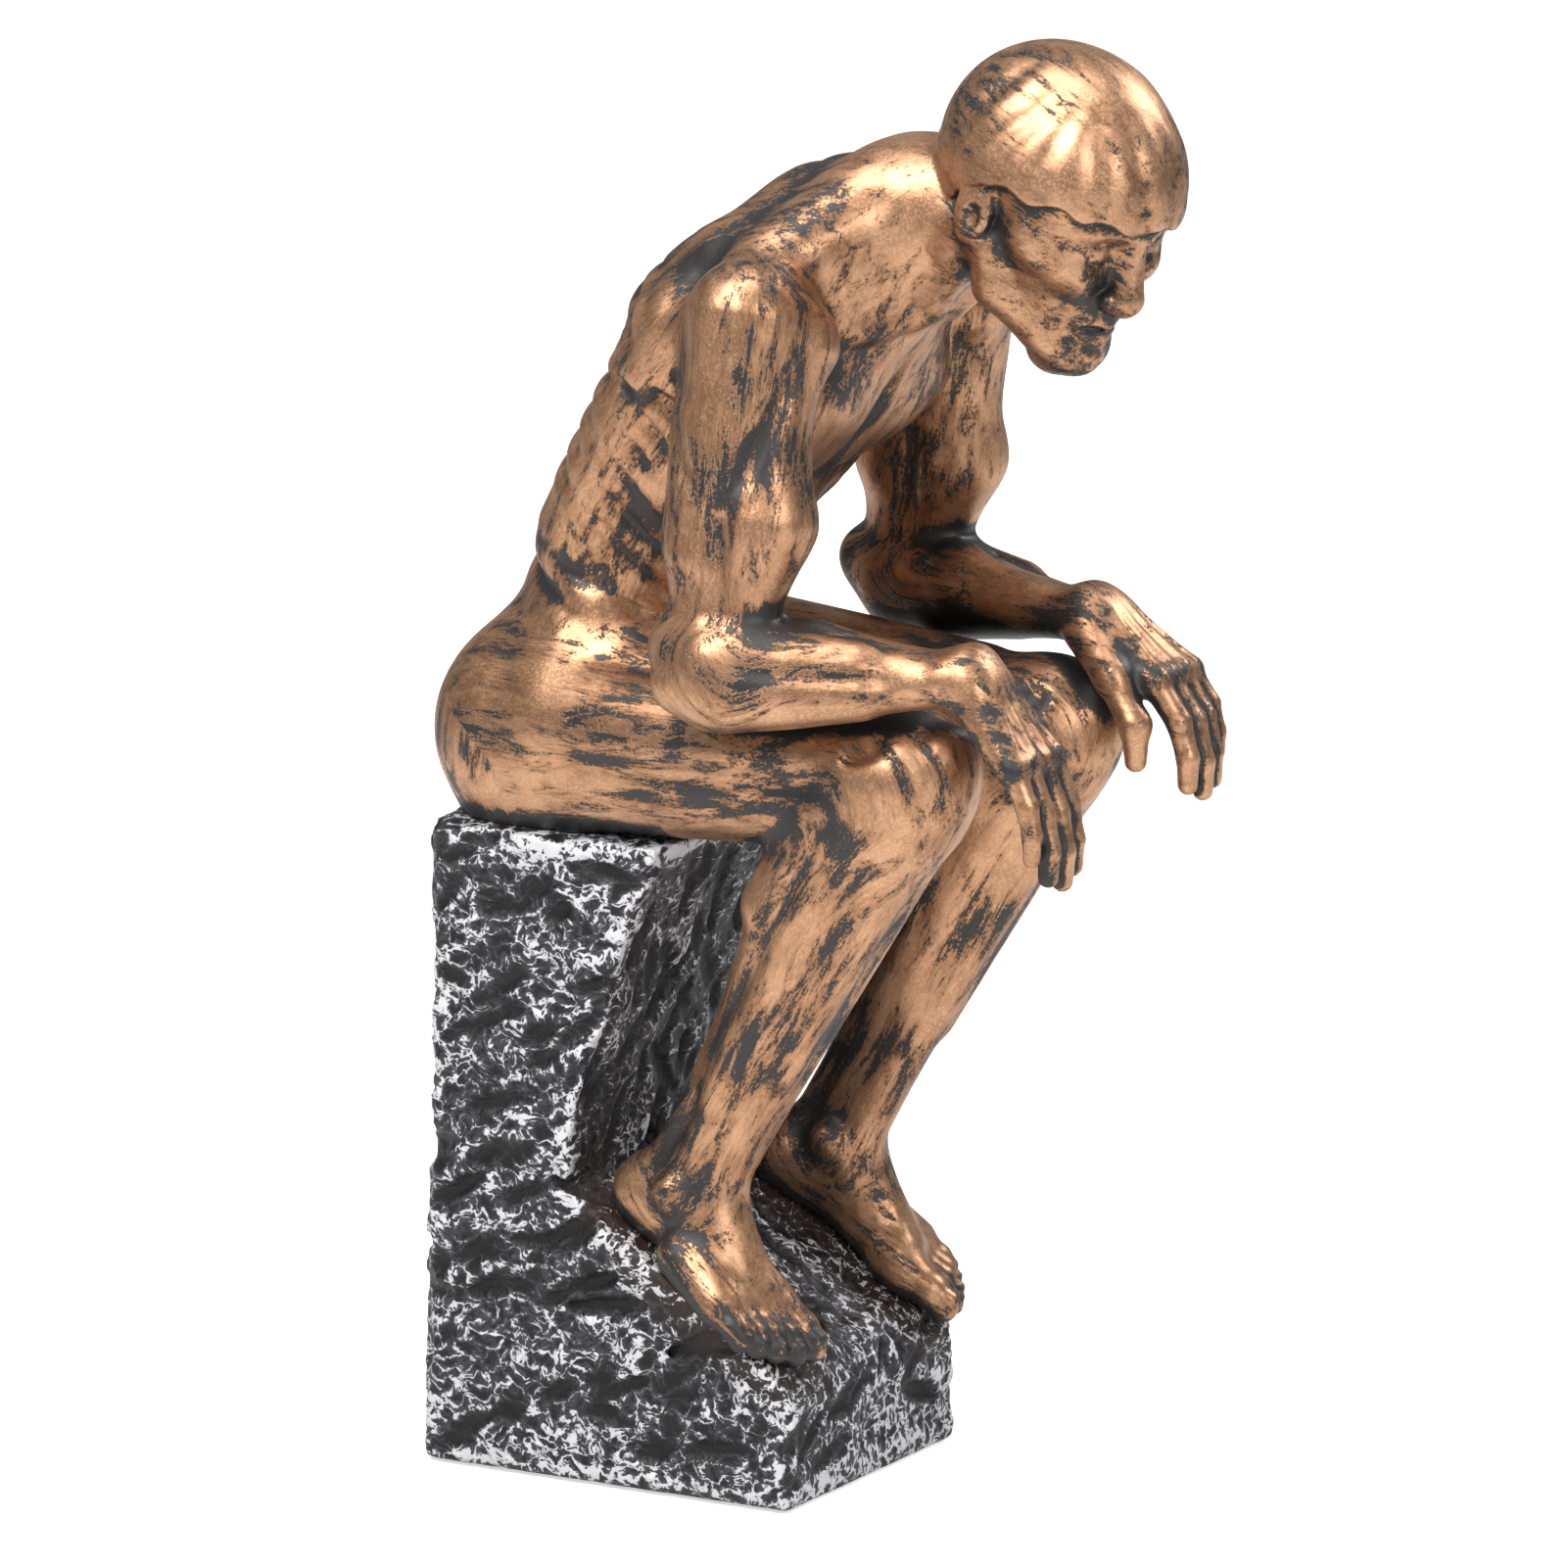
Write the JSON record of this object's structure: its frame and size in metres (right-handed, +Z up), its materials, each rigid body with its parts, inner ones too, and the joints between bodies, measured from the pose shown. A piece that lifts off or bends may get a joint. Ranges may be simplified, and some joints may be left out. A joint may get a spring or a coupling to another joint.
{
  "type": "seated figure statue",
  "caption": "Bronze-painted resin figure of a seated man, leaning forward in thought with forearms on thighs, on a rough-hewn rock with a felt foot.",
  "frame": {"origin": "middle of the rock's foot, on the felt's underside, which rests on the floor", "axes": "+Z up; the figure faces -Y and its right side is at -X"},
  "size_m": [0.1181, 0.1493, 0.2834],
  "materials": {
    "bronze_resin": "cast resin, black base coat with coppery bronze metallic paint brushed over it",
    "rock_resin": "cast resin, black with silver dry-brushed on the ridges",
    "ballast": "cast plaster and stone powder",
    "plate_board": "plain fibreboard",
    "felt": "black felt",
    "steel": "zinc plated"
  },
  "bodies": {
    "root": {"rock_base": "rock_resin", "ballast_block": "ballast", "base_plate": "plate_board", "felt_sheet": "felt", "seat_stud": "steel", "seat_washer": "steel", "seat_nut": "steel", "torso": "bronze_resin", "head": "bronze_resin", "right_arm": "bronze_resin", "left_arm": "bronze_resin", "right_leg": "bronze_resin", "left_leg": "bronze_resin", "right_hip_pin": "steel", "left_hip_pin": "steel", "right_shoulder_pin": "steel", "left_shoulder_pin": "steel", "neck_pin": "steel", "right_foot_pin": "steel", "left_foot_pin": "steel"}
  },
  "joints": []
}
